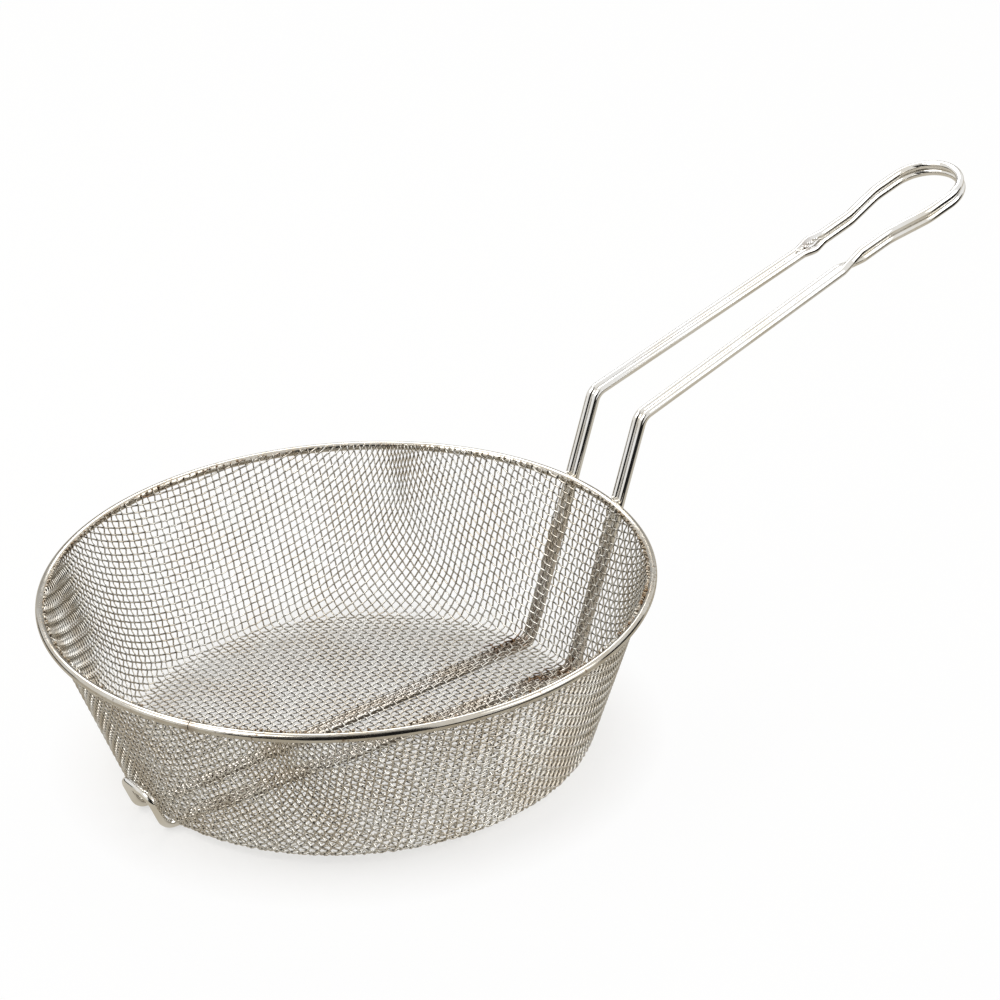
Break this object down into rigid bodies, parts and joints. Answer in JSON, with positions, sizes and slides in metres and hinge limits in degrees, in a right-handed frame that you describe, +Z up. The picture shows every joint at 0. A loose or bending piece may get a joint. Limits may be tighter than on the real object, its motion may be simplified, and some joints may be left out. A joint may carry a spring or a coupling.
{
  "type": "mesh culinary basket",
  "caption": "Round flat-bottomed basket of woven wire cloth welded inside a round rim wire, carried by a long double-wire handle that passes under the bowl and ends in a hanging loop.",
  "frame": {"origin": "point on the bowl's axis in the plane that the basket rests on", "axes": "+X from the bowl's axis towards the handle loop, +Z up out of the bowl's mouth"},
  "size_m": [0.4611, 0.254, 0.1685],
  "materials": {
    "cloth": "nickel plate on woven steel wire",
    "rim": "nickel plate on round steel wire",
    "frame_wire": "bright nickel plate on steel wire"
  },
  "bodies": {
    "root": {"mesh_bowl": "cloth", "rim_wire": "rim", "handle_wire_outer": "frame_wire", "handle_wire_inner": "frame_wire"}
  },
  "joints": []
}
